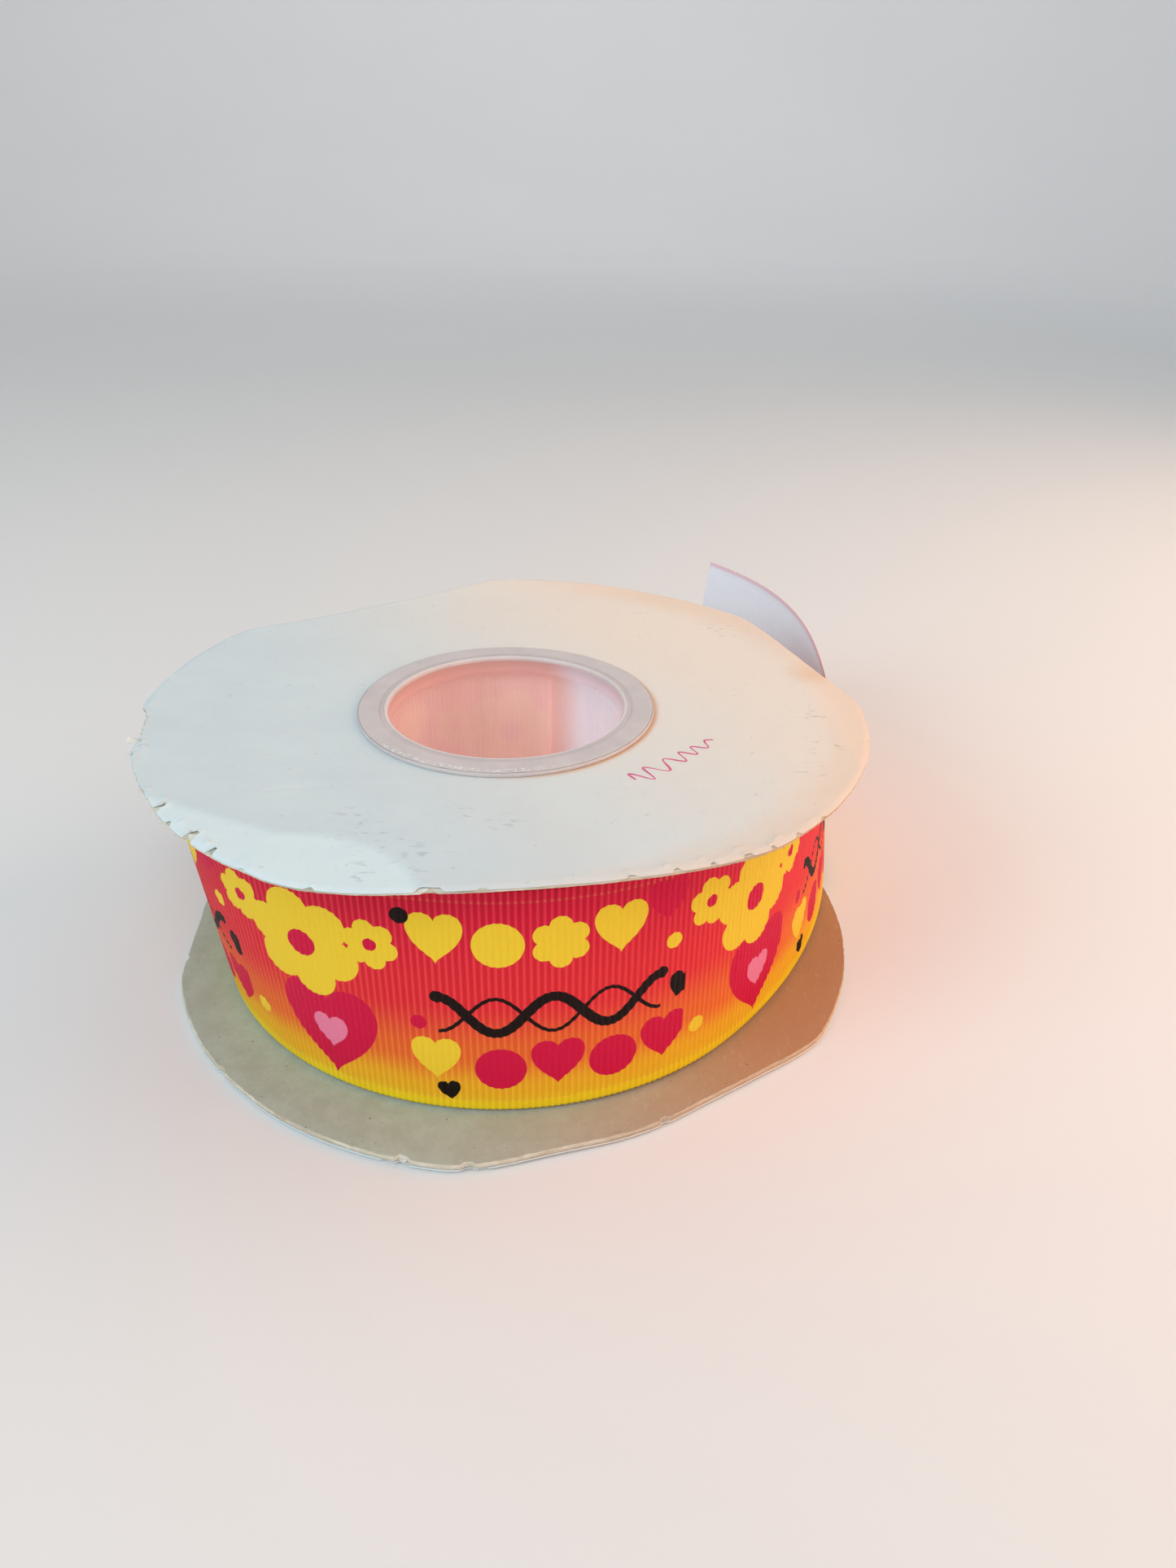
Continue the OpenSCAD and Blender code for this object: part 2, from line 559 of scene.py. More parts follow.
def roll_path(radius_at):
    """A path round the hub: takes lengths before the take-off, and gives places and normals."""
    def path(s):
        radius, angle = radius_at(s)
        normal = np.stack([np.cos(angle), np.sin(angle)], -1)
        return radius[..., None] * normal, normal
    return path


def outer_turn_radius(s):
    """The outermost turn, ending at the take-off where s is 0, and a ribbon thinner a turn back."""
    angle = TAKE_OFF_ANGLE + s / TAKE_OFF_R
    radius = TAKE_OFF_R + RIBBON_T * s / (TURN * TAKE_OFF_R)
    return radius, angle


def free_path(s):
    """The free end from the take-off on, at its lower edge: one long easy curl."""
    start = TAKE_OFF_ANGLE + math.pi / 2
    heading = start + np.asarray(s) / CURL_R
    x = TAKE_OFF_R * math.cos(TAKE_OFF_ANGLE) + CURL_R * (np.sin(heading) - math.sin(start))
    y = TAKE_OFF_R * math.sin(TAKE_OFF_ANGLE) - CURL_R * (np.cos(heading) - math.cos(start))
    return np.stack([x, y], -1), np.stack([np.sin(heading), -np.cos(heading)], -1)


FREE_LEAN = 3.6 * MM


def free_lean(s, share):
    """The free end's top edge leans in towards the roll at first, then straightens and passes it."""
    inward = smooth(s, 5 * MM, 50 * MM) * (1 - 1.35 * smooth(s, 62 * MM, 118 * MM))
    return -FREE_LEAN * inward * share


SELVEDGE = 1.75 * MM


def edge_rows(count):
    """Heights across the ribbon, close together at each selvedge, in metres."""
    edge = np.array([0.0, 0.35, 0.8, 1.25, 1.55, 1.75, 1.95, 2.3]) * MM
    middle = np.linspace(edge[-1], RIBBON_W - edge[-1], count + 2)[1:-1]
    return np.concatenate([edge, middle, (RIBBON_W - edge)[::-1]])


def rib_relief(s, across):
    """Height of the ribs: rounded across the middle, staggered and lower along the selvedges."""
    from_edge = np.minimum(across, RIBBON_W - across)
    middle = np.abs(np.sin(math.pi * s / RIB_PITCH)) ** 1.1
    border = np.abs(np.sin(math.pi * (s / RIB_PITCH + 0.5))) ** 0.8
    in_border = 1 - smooth(from_edge, SELVEDGE - 0.2 * MM, SELVEDGE + 0.15 * MM)
    groove = np.exp(-((from_edge - SELVEDGE) / (0.16 * MM)) ** 2)
    relief = middle * (1 - in_border) + (0.35 + 0.4 * border) * in_border
    return RIB_HEIGHT * relief * (1 - 0.75 * groove)


def ribbon_strip(name, path, ends, per_rib, rows, lean=None, print_start=PRINT_START, slant=0.0):
    """A ribbed strip standing on edge along a path, between two lengths along it. rows are the
    rows of points on its front and back; slant is how far short of the bottom the top ends."""
    start, end = ends
    columns = int(round((end - start) / RIB_PITCH * per_rib)) + 1
    front = edge_rows(rows[0])
    back = edge_rows(rows[1])[::-1] if rows[1] else np.array([RIBBON_W, 0.0])
    across = np.concatenate([front, back])[:, None]
    share = across / RIBBON_W
    s = np.linspace(start, end, columns)[None, :]
    s = s - slant * share * smooth(s, end - 30 * MM, end)
    places, normals = path(s)
    side = np.concatenate([np.ones(len(front)), -np.ones(len(back))])[:, None]
    half = (RIBBON_T - 2 * RIB_HEIGHT) / 2 + 0.02 * MM
    # The selvedge is a little scalloped, and thins to its edge
    edge = np.minimum(across, RIBBON_W - across)
    offset = side * (half + rib_relief(s, across)) * smooth(edge, -0.3 * MM, 0.5 * MM)
    if lean is not None:
        offset = offset + lean(s, share)
    picot = 0.07 * MM * np.cos(TURN * s / RIB_PITCH) * (edge < 0.1 * MM)
    points = np.empty((len(across), columns, 3))
    points[..., :2] = places + normals * offset[..., None]
    points[..., 2] = RIBBON_LOW + across + picot * np.where(share > 0.5, 1, -1)
    uv = np.empty((len(across), columns, 2))
    uv[..., 0] = s / REPEAT + print_start
    uv[..., 1] = share
    slot_of_row = [0] * len(front) + [1] * (len(across) - len(front))
    obj = grid_object(name, points, True, False, uv, slot_of_row)
    close_ends(obj, len(across), columns)
    return obj


STEPS_PER_TURN = 90
# Half the thickness of the wound strip as a share of the ribbon's, and how uneven its radius is
COIL_HALF = 0.42
COIL_WOBBLE = 0.0006
# How far the wound strip stops short of the ribbon's two edges
COIL_INSET = 0.1 * MM


def coil_strip(name, inner_r, outer_r):
    """The wound turns between two radii: one long strip in a true spiral. Gives its length too."""
    turns = (outer_r - inner_r) / RIBBON_T
    steps = int(turns * STEPS_PER_TURN)
    angle = TAKE_OFF_ANGLE - np.linspace(0, turns * TURN, steps)[::-1]
    radius = np.linspace(inner_r, outer_r, steps)
    wobble = 1 + COIL_WOBBLE * np.sin(3 * angle + radius / MM)
    half = COIL_HALF * RIBBON_T
    normal = np.stack([np.cos(angle), np.sin(angle)], -1)
    # Each turn sits a little higher or lower than the next
    shift = 0.10 * MM * np.sin(radius / MM * 5.1) + 0.05 * MM * np.sin(radius / MM * 17.0)
    points = np.empty((4, steps, 3))
    for row, (side, top) in enumerate(((1, 0), (1, 1), (-1, 1), (-1, 0))):
        points[row, :, :2] = ((radius + side * half) * wobble)[:, None] * normal
        points[row, :, 2] = shift + (RIBBON_HIGH - COIL_INSET if top else RIBBON_LOW + COIL_INSET)
    length = float(np.sum(radius[:-1] * np.diff(angle)))
    s = np.concatenate([[0], np.cumsum(radius[:-1] * np.diff(angle))]) - length
    uv = np.empty((4, steps, 2))
    uv[..., 0] = (s / REPEAT)[None, :]
    uv[..., 1] = np.array([0, 1, 1, 0])[:, None]
    obj = grid_object(name, points, True, False, uv, [0, 1, 1, 1])
    close_ends(obj, 4, steps)
    return obj, length


# ---------------------------------------------------------------- the flanges' shape

ANGLES = np.linspace(0, TURN, 1440, endpoint=False)


def soft_least(a, b, blur):
    """The smaller of a and b, rounded where they cross."""
    overlap = np.maximum(blur - np.abs(a - b), 0) / blur
    return np.minimum(a, b) - overlap * overlap * blur / 4


def outline(angle, flats, centre):
    """Radius of a flange's cut edge in each direction from the hub axis."""
    cx = centre[0] * MM
    cy = centre[1] * MM
    toward = cx * np.cos(angle) + cy * np.sin(angle)
    radius = toward + np.sqrt(toward ** 2 - cx ** 2 - cy ** 2 + FLANGE_R ** 2)
    for direction, distance, softness in flats:
        flat = math.radians(direction)
        cosine = np.maximum(np.cos(angle - flat), 0.2)
        reach = (distance * MM + cx * math.cos(flat) + cy * math.sin(flat)) / cosine
        radius = soft_least(radius, reach, softness * MM)
    return radius


def notches(angle, chips, seed):
    """How far chips cut into an edge; each is (direction, half-width in degrees, depth in mm)."""
    cut = np.zeros_like(angle)
    for number, (direction, width, depth) in enumerate(chips):
        away = np.abs((np.degrees(angle) - direction + 180) % 360 - 180)
        rough = 0.65 + 0.5 * jagged(angle, 500, seed + number)
        cut = np.maximum(cut, depth * MM * rough * (1 - smooth(away, width * 0.45, width)))
    return cut


def from_line(x, y, points):
    """Distance from a line drawn through points, given in millimetres."""
    nearest = np.full(np.broadcast(x, y).shape, 1.0)
    for (ax, ay), (bx, by) in zip(points[:-1], points[1:]):
        ax, ay, bx, by = ax * MM, ay * MM, bx * MM, by * MM
        dx, dy = bx - ax, by - ay
        part = np.clip(((x - ax) * dx + (y - ay) * dy) / (dx * dx + dy * dy), 0, 1)
        nearest = np.minimum(nearest, np.hypot(x - ax - part * dx, y - ay - part * dy))
    return nearest


def beyond(x, y, direction, distance):
    """How far past a straight fold line a point lies; the fold is that far from the axis."""
    turn = math.radians(direction)
    return np.maximum(x * math.cos(turn) + y * math.sin(turn) - distance * MM, 0)


TOP_EDGE = outline(ANGLES, TOP_FLATS, TOP_CENTRE)

# Creases in the upper flange: depth, half-width, and the points of the line, in millimetres
CREASES = [
    (0.10, 0.45, [(-31.5, -29.8), (-27.0, -28.5), (-21.5, -27.8), (-15.9, -26.9), (-7.8, -26.2)]),
    (0.10, 0.45, [(10.9, -25.4), (21.5, -26.9)]),
    (0.06, 0.9, [(-32.2, 1.4), (-29.7, -7.6), (-26.7, -18.3)]),
]
# Straight folds in it: slope of the card beyond, direction, distance from the axis
FOLDS = [(-0.13, 6, 51.4), (0.05, 93, 50.0), (0.04, -60, 52.0)]


def dished(x, y, rise):
    radius = np.hypot(x, y)
    return rise * np.maximum(radius - RIM_R, 0) / (FLANGE_R - RIM_R)


def clear_of_hub(x, y):
    """0 on the flat ring at the hub, and 1 from 8 mm outside it."""
    return smooth(np.hypot(x, y), RIM_R, RIM_R + 8 * MM)


# Where the card is crushed at the front left: a disc, and a strip to the left of it beyond a line
CRUSHED_DISC = (-24.0, -60.0, 18.8)
CRUSHED_LINE = (0.397, 0.918, 48.7)


def crushed_depth(x, y):
    """How far the crushed zone at the front left lies below the rest of the card."""
    px = x / MM
    py = y / MM
    disc_x, disc_y, disc_r = CRUSHED_DISC
    line_x, line_y, line_far = CRUSHED_LINE
    from_disc = np.hypot(px - disc_x, py - disc_y) - disc_r
    from_strip = np.maximum(line_x * px + line_y * py + line_far, px - disc_x)
    past = -np.minimum(from_disc, from_strip)
    return (0.14 * smooth(past, -0.4, 1.4) + 0.045 * np.clip(past, 0, 13)) * MM


# Small puckers where the paper is scuffed up near its edge: direction, how far in, size, height
PUCKERS = [
    (-47, 1.6, 0.9, 0.30), (-49, 1.0, 0.7, 0.22), (-53, 2.2, 1.1, 0.30), (-56, 1.4, 0.8, 0.22),
    (-59, 1.8, 0.9, 0.28), (-64, 1.6, 1.0, 0.30), (-69, 1.5, 0.9, 0.24), (-40, 1.2, 0.7, 0.18),
    (-177, 1.5, 0.9, 0.30), (-172, 1.3, 0.8, 0.26), (-161, 2.2, 1.2, 0.40), (-157, 1.2, 0.8, 0.25),
    (-147, 1.5, 0.9, 0.22), (-143, 2.4, 1.1, 0.30), (-136, 1.8, 1.0, 0.30), (-129, 1.5, 1.0, 0.35),
    (-120, 0.8, 0.7, 0.15), (-111, 0.8, 0.7, 0.12), (-97, 1.8, 1.2, 0.20),
]


def puckered(x, y):
    """Height of the puckers: each a small ragged ridge lying roughly along the edge."""
    height = np.zeros_like(x)
    rough = 0.75 + 0.35 * ripple(x, y, 0.0012, 13)
    for direction, inset, size, tall in PUCKERS:
        turn = math.radians(direction)
        rim = np.interp(turn % TURN, ANGLES, TOP_EDGE, period=TURN)
        out = x * math.cos(turn) + y * math.sin(turn) - (rim - inset * MM)
        along = y * math.cos(turn) - x * math.sin(turn)
        bump = np.exp(-(out / (0.45 * size * MM)) ** 2 - (along / (size * MM)) ** 2)
        height += tall * MM * bump * rough
    return height


def top_shape(x, y):
    """Height of the upper flange above its flat ring at the hub, before the paper's own wear."""
    height = dished(x, y, TOP_DISH)
    for slope, direction, distance in FOLDS:
        height += slope * beyond(x, y, direction, distance)
    return height + clear_of_hub(x, y) * 0.08 * MM * ripple(x, y, 0.034, 11)


def top_worn(x, y):
    """Height of the upper flange's outer face: crushed, creased and puckered."""
    height = top_shape(x, y) - crushed_depth(x, y) + puckered(x, y)
    height += clear_of_hub(x, y) * 0.03 * MM * ripple(x, y, 0.009, 12)
    for depth, half_width, line in CREASES:
        height -= depth * MM * np.exp(-(from_line(x, y, line) / (half_width * MM)) ** 2)
    return height


def bottom_shape(x, y):
    """Height of the lower flange above its flat ring at the hub; its edge droops a little."""
    height = dished(x, y, BOTTOM_DISH)
    return height + clear_of_hub(x, y) * 0.05 * MM * ripple(x, y, 0.030, 21)


def card_layer(name, radius, low_face, high_face, rings, edge_offsets):
    """A layer of card with a hole at the hub, between two faces given as heights at (x, y, r).
    edge_offsets are how far each ply of the cut edge stands in from radius, from the top down."""
    spread = 1 - (1 - np.linspace(0, 1, rings)) ** 1.5
    top_rim = radius - edge_offsets[0] - HOLE_R
    low_rim = radius - edge_offsets[-1] - HOLE_R
    last = len(edge_offsets) - 1
    rows = [(HOLE_R + part * top_rim, 1.0) for part in spread]
    for ply in range(1, last):
        rows.append((radius - edge_offsets[ply], 1 - ply / last))
    rows += [(HOLE_R + part * low_rim, 0.0) for part in spread[::-2]]
    rows += [(np.full_like(ANGLES, HOLE_R), 0.0), (np.full_like(ANGLES, HOLE_R), 0.5)]
    points = np.empty((len(rows), len(ANGLES), 3))
    for row, (r, height) in enumerate(rows):
        x = r * np.cos(ANGLES)
        y = r * np.sin(ANGLES)
        low = low_face(x, y, r)
        points[row, :, 0] = x
        points[row, :, 1] = y
        points[row, :, 2] = low + height * (high_face(x, y, r) - low)
    slot_of_row = [0] * (rings - 1) + [1] * last + [0] * (len(rows) - rings - last + 1)
    obj = grid_object(name, points, True, True, slot_of_row=slot_of_row)
    flip_if_inside_out(obj)
    return obj


def flip_if_inside_out(obj):
    """Turns the faces over if the closed mesh encloses a negative volume."""
    work = bmesh.new()
    work.from_mesh(obj.data)
    if work.calc_volume(signed=True) < 0:
        bmesh.ops.reverse_faces(work, faces=work.faces)
        work.to_mesh(obj.data)
    work.free()


# Chips in the cut edges: direction, half-width in degrees, depth in millimetres
TOP_LINER_CHIPS = [
    (-168, 9.0, 1.8), (-151, 15.0, 0.40),
    (-163, 0.8, 1.8), (-159, 0.9, 0.9), (-147, 0.7, 0.6), (-141.5, 0.7, 2.0),
    (-137, 0.7, 0.7), (-132, 1.1, 1.8), (-127, 0.6, 1.3), (-121, 0.6, 0.3), (-111, 0.8, 0.3),
    (-96, 2.2, 0.7), (-89, 0.8, 0.3), (-69, 1.0, 0.4), (-63, 0.7, 0.5), (-58, 0.6, 0.5),
    (-53, 0.9, 0.4), (-49, 0.5, 0.4), (-44, 0.7, 0.4), (-38, 0.8, 0.3), (-11, 0.7, 0.3),
    (14, 0.8, 0.4), (43, 0.7, 0.4), (71, 0.9, 0.5), (93, 1.2, 0.6), (118, 0.9, 0.5),
    (155, 1.2, 0.4), (172, 0.9, 0.4),
]
TOP_BOARD_CHIPS = [
    (-168, 9.0, 1.5), (-151, 15.0, 0.35), (-132, 1.1, 0.4), (-96, 1.2, 0.4), (93, 0.9, 0.4),
]
BOTTOM_LINER_CHIPS = [
    (-103, 1.2, 0.5), (-90, 0.9, 0.4), (-140, 1.0, 0.5), (20, 0.9, 0.5),
    (80, 1.1, 0.6), (130, 0.8, 0.4), (178, 0.9, 0.4),
]
BOTTOM_BOARD_CHIPS = [
    (-101, 1.2, 0.7), (-92, 1.0, 0.6), (-63, 0.8, 0.4), (-135, 1.0, 0.4),
    (60, 1.0, 0.5), (150, 0.9, 0.4), (-165, 0.8, 0.4),
]


def ply_offsets(count, seed, soft):
    """How far in each ply stands at each angle: worn back at the two faces, ragged between."""
    offsets = []
    for ply in range(count):
        middle = 1 - abs(2 * ply / (count - 1) - 1)
        worn = soft * (1 - middle) ** 2
        offsets.append(MM * (worn + 0.12 * jagged(ANGLES, 700, seed + ply) + 0.03))
    return offsets


# How far each flange's outer face is rolled down at its edge, and how wide that band is
EDGE_ROLL = 0.20 * MM
ROLL_BAND = 1.2 * MM
# The width of the band that is pressed thinner, and the least thickness left there
PINCH_BAND = 2.4 * MM
LEAST_BOARD = 0.35 * MM
# How much the liner's torn edge curls up, and over what width
TORN_CURL = 0.14 * MM
CURL_BAND = 1.1 * MM
GLUE_GAP = 0.004 * MM


def make_flange(name, shapes, edge, board_z, liner_z, chips, pinch, seed):
    """The two layers of one flange: the chipboard, and the white liner on its outer face. Its cut
    edge is pressed thinner by pinch from the inner face, and rolled a little at the outer one."""
    flat, worn = shapes
    liner_chips, board_chips = chips
    outward = 1 if liner_z > board_z else -1
    edge = edge - 0.05 * MM - 0.10 * MM * jagged(ANGLES, 90, seed)
    board_edge = edge - notches(ANGLES, board_chips, seed + 20)
    torn = notches(ANGLES, liner_chips, seed + 50)
    liner_edge = np.minimum(edge - 0.06 * MM - torn, board_edge - 0.05 * MM)
    outer_z = board_z + (BOARD_T if outward > 0 else 0)
    inner_z = board_z + (0 if outward > 0 else BOARD_T)

    def outer(x, y, r):
        rolled = EDGE_ROLL * smooth(r, edge - ROLL_BAND, edge) ** 2
        return outer_z + worn(x, y) - outward * rolled

    def inner(x, y, r):
        pressed = outward * pinch * smooth(r, edge - PINCH_BAND, edge)
        least = outer(x, y, r) - outward * LEAST_BOARD
        found = inner_z + flat(x, y) + pressed
        return np.minimum(found, least) if outward > 0 else np.maximum(found, least)

    def glued(x, y, r):
        curl = smooth(r, liner_edge - CURL_BAND, liner_edge) * (torn > 0.3 * MM)
        tilt = curl * TORN_CURL * (0.4 + jagged(ANGLES, 300, seed + 80))
        return outer(x, y, r) + outward * (GLUE_GAP + tilt)

    def face(x, y, r):
        return glued(x, y, r) + outward * LINER_T

    faces = (inner, outer) if outward > 0 else (outer, inner)
    plies = ply_offsets(7, seed + 1, 0.16)
    board = card_layer(name + "_board_card", board_edge, *faces, 46, plies)
    faces = (glued, face) if outward > 0 else (face, glued)
    sheet_edge = [0.02 * MM + 0 * ANGLES, 0 * ANGLES, 0.02 * MM + 0 * ANGLES]
    liner = card_layer(name + "_liner_paper", liner_edge, *faces, 60, sheet_edge)
    body = name + "_flange"
    for piece, node, slot in (
        (board, name + "_board", "chipboard"),
        (liner, name + "_liner", "liner_paper"),
    ):
        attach(piece, body)
        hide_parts(node)
    return board, liner, board_edge


# ---------------------------------------------------------------- paper and board

def near(x, y, centre, size):
    """1 at centre falling to 0 at size millimetres from it."""
    dx = x - centre[0]
    dy = y - centre[1]
    return (dx * dx + dy * dy).sqrt().ramp(0, size, 1.0, 0.0)


# Marks on the upper liner, in millimetres: (x, y, size), and where a dog-eared corner gets painted
# warm light
SMUDGES = [(-18, -38, 7), (-13, -43, 6), (-7, -47, 6), (-15, -50, 5), (-4, -35, 4), (2, -37, 4)]
BROWN_SCUFFS = [(50, -13, 5), (50, -4, 4), (46, -22, 4), (38, 34, 5)]
DOG_EAR = (52.2, 13.4)


def crushed_share(x, y):
    """1 inside the crushed zone of the upper liner and 0 outside it; the paper there gets a painted
    highlight.
    """
    disc_x, disc_y, disc_r = CRUSHED_DISC
    line_x, line_y, line_far = CRUSHED_LINE
    from_disc = disc(x - disc_x, y - disc_y, disc_r)
    from_strip = (x * line_x + y * line_y + line_far).most(x - disc_x)
    return from_disc.least(from_strip).ramp(-1.6, 0.5, 1.0, 0.0)


def liner_paper(name, marks_and_painted_light):
    """White paper: faint mottle and fibres, greyer with handling smudges, and painted light: cool
    overall, warmer to the right and back, and on the crushed zone, outer edge, bent corner and by the
    hub rim.
    """
    shader = Shader(name)
    x, y, _ = shader.place()
    radius = (x * x + y * y).sqrt()
    cloud = shader.noise(38, 3.0, 0.6)
    # Painted light: the sheet is tinted a cool bluish white for the cool light from the left and
    # front.
    shader.start(cloud.ramp(0.3, 0.75), (217, 228, 231), (209, 221, 226))
    if marks_and_painted_light:
        # Painted highlight: the crushed zone at the front left is tinted a lighter, cooler white.
        shader.over(crushed_share(x, y) * 0.6, (228, 244, 248))
    # Painted warm light: the sheet warms towards the right and back, where the warm light falls.
    warm_light_share = (x * 0.012 + y * 0.007 + cloud * 0.4).ramp(-0.30, 0.85)
    shader.over(warm_light_share * 0.9, (248, 230, 214))
    fibre = shader.noise(900, 3.0, 0.6, (1, 0.35, 1)).ramp(0.62, 0.72)
    shader.over(fibre * 0.08, (176, 170, 168))
    # Painted warm light: a peach tint along the outer edge on the right, with a noisy inner border.
    warm_rim_wobble = shader.noise(210, 4.0, 0.7)
    painted_warm_rim_light = (radius + warm_rim_wobble * 4).ramp(50.0, 59.5) * (x * 0.03 + 0.35).ramp(0.0, 1.2)
    shader.over(painted_warm_rim_light * 0.5, (242, 206, 176))
    # Painted shadow and warm reflected light: a tan crescent on the paper just outside the hub rim,
    # on the right.
    ring = (radius - RIM_R / MM).ramp(0.0, 1.1, 1.0, 0.0) * (x * 0.1).ramp(-0.5, 1.6)
    shader.over(ring * 0.8, (222, 170, 124))
    if marks_and_painted_light:
        scuff = shader.noise(620, 2.0, 0.6, (0.7, 1.6, 1)).ramp(0.57, 0.66)
        for spots, share, tint in (
            (SMUDGES, 0.34, (140, 146, 160)),
            (BROWN_SCUFFS, 0.45, (176, 140, 112)),
        ):
            for centre_x, centre_y, size in spots:
                shader.over(near(x, y, (centre_x, centre_y), size) * scuff * share, tint)
        # Painted warm light on the bent dog-eared corner at the right.
        shader.over(near(x, y, DOG_EAR, 6.0) * 0.6, (236, 196, 160))
    speck = shader.noise(700, 1.0, 0.5).ramp(0.765, 0.78)
    shader.over(speck * 0.18, (150, 142, 136))
    shader.link(shader.colour, "Base Color")
    shader.link(cloud.ramp(0.3, 0.7, 0.42, 0.58), "Roughness")
    shader.set(Specular_IOR_Level=0.35)
    relief = shader.noise(150, 4.0, 0.62) + shader.noise(1800, 2.0, 0.6) * 0.10
    shader.bump(relief, 0.00025)
    return shader.material


def chipboard(name):
    """Grey-brown board, flecked with dark and pale pulp, cream where the liner has torn off, and
    painted warm light to the right.
    """
    shader = Shader(name)
    x, y, z = shader.place()
    radius = (x * x + y * y).sqrt()
    dish = (radius - RIM_R / MM) * (TOP_DISH / (FLANGE_R - RIM_R))
    under_liner = (z - dish).ramp(UPPER_LINER_Z / MM - 0.5, UPPER_LINER_Z / MM - 0.2)
    pulp = shader.noise(300, 4.0, 0.7)
    shader.start(pulp.ramp(0.3, 0.7), (182, 190, 176), (172, 178, 162))
    # Painted warm light: warmer to the right, standing in for the warm lamp and light thrown back by
    # the orange ribbon.
    shader.over((x * 0.02).ramp(-0.2, 1.0) * 0.9, (180, 128, 88))
    pale = shader.noise(1500, 2.0, 0.6, (1, 0.3, 1)).ramp(0.6, 0.7)
    shader.over(pale * 0.14, (206, 196, 176))
    dark = shader.noise(1100, 1.0, 0.5).ramp(0.755, 0.77)
    shader.over(dark * 0.6, (96, 78, 60))
    shader.over(under_liner * 0.85, (226, 220, 206))
    shader.link(shader.colour, "Base Color")
    shader.set(Roughness=0.85, Specular_IOR_Level=0.2)
    shader.bump(shader.noise(900, 4.0, 0.7), 0.00008)
    return shader.material


def cut_board(name):
    """The board's cut edge: pale plies with thin brown lines between them, and painted warm light to
    the right.
    """
    shader = Shader(name)
    x, _, _ = shader.place()
    tone = shader.noise(500, 3.0, 0.6)
    shader.start(tone.ramp(0.3, 0.7), (226, 220, 204), (206, 196, 174))
    plies = shader.noise(420, 3.0, 0.6, (0.30, 0.30, 14))
    shader.over(plies.ramp(0.52, 0.62) * 0.5, (150, 124, 96))
    # Painted warm light: the cut edge is tinted warmer towards the right.
    shader.over((x * 0.02).ramp(-0.2, 1.0) * 0.6, (206, 158, 120))
    shader.link(shader.colour, "Base Color")
    shader.link(tone.ramp(0.2, 0.8, 0.80, 0.92), "Roughness")
    shader.set(Specular_IOR_Level=0.2)
    shader.bump(plies + shader.noise(1400, 3.0, 0.7) * 0.5, 0.00010)
    return shader.material


def paper_fibre():
    shader = Shader("paper_fibre")
    tone = shader.noise(400, 2.0, 0.6)
    shader.link(shader.mix(tone, linear(236, 238, 236), linear(216, 212, 200)), "Base Color")
    shader.link(tone.ramp(0.2, 0.8, 0.8, 0.95), "Roughness")
    return shader.material


def add_spike(vertices, faces, rings, tip):
    """Joins rings of points one after another and closes both ends, the last in a point."""
    base = len(vertices)
    count = len(rings[0])
    for ring in rings:
        vertices.extend(ring)
    vertices.append(tip)
    faces.append(tuple(base + corner for corner in reversed(range(count))))
    for number in range(len(rings) - 1):
        start = base + number * count
        for corner in range(count):
            following = (corner + 1) % count
            faces.append((start + corner, start + following,
                          start + count + following, start + count + corner))
    start = base + (len(rings) - 1) * count
    for corner in range(count):
        faces.append((start + corner, start + (corner + 1) % count, start + count))


def fibre_rings(rng, point, outward):
    """Rings and tip of one thin curved three-sided fibre."""
    length = rng.uniform(0.4, 1.1) * MM
    thick = rng.uniform(0.020, 0.045) * MM
    lean = outward * rng.uniform(0.4, 1.0) + rng.normal(0, 0.5, 3)
    lean /= np.linalg.norm(lean)
    bend = rng.normal(0, 0.3, 3)
    side = np.cross(lean, (0.3, 0.2, 0.9))
    side /= np.linalg.norm(side)
    other = np.cross(lean, side)
    around = [corner * TURN / 3 for corner in range(3)]
    rings = []
    for step in (0.0, 0.35, 0.7):
        centre = point + length * (lean * step + bend * step * step)
        width = thick * (1 - 0.5 * step)
        rings.append([centre + width * (math.cos(a) * side + math.sin(a) * other) for a in around])
    return rings, point + length * (lean + bend)


FLAKE_T = 0.09 * MM
FLAKE_BEND = 0.10


def flake_rings(rng, point, outward, length, lift):
    """Rings and tip of one small curled flake of paper."""
    up = np.array([0.0, 0.0, 1.0])
    ahead = outward * math.cos(lift) + up * math.sin(lift)
    side = np.cross(ahead, up)
    side /= np.linalg.norm(side)
    normal = np.cross(side, ahead)
    rings = []
    for step in np.linspace(0, 0.93, 8):
        centre = point + length * step * ahead + normal * length * FLAKE_BEND * step * step
        half = length * 0.34 * math.sqrt(math.sin(math.pi * (0.12 + 0.86 * step)))
        ring = []
        for across in (-1.0, -0.5, 0.0, 0.5, 1.0, 0.5, 0.0, -0.5):
            ragged = 1 + 0.30 * rng.random() * abs(across)
            under = len(ring) > 4
            sag = -normal * (FLAKE_T * under + length * 0.12 * across * across)
            ring.append(centre + side * half * across * ragged + sag)
        rings.append(ring)
    return rings, point + length * ahead + normal * length * FLAKE_BEND


def torn_paper(name, roots, flakes, seed):
    """One mesh of fibres and flakes. Both are given as (point, outward), and flakes with their
    length and lift as well."""
    rng = np.random.default_rng(seed)
    vertices = []
    faces = []
    for root in roots:
        add_spike(vertices, faces, *fibre_rings(rng, *root))
    for flake in flakes:
        add_spike(vertices, faces, *flake_rings(rng, *flake))
    mesh = bpy.data.meshes.new(name)
    mesh.from_pydata([(v[0], v[1], max(v[2], 0.0)) for v in vertices], [], faces)
    mesh.update()
    obj = new_object(name, mesh)
    flip_if_inside_out(obj)
    return obj


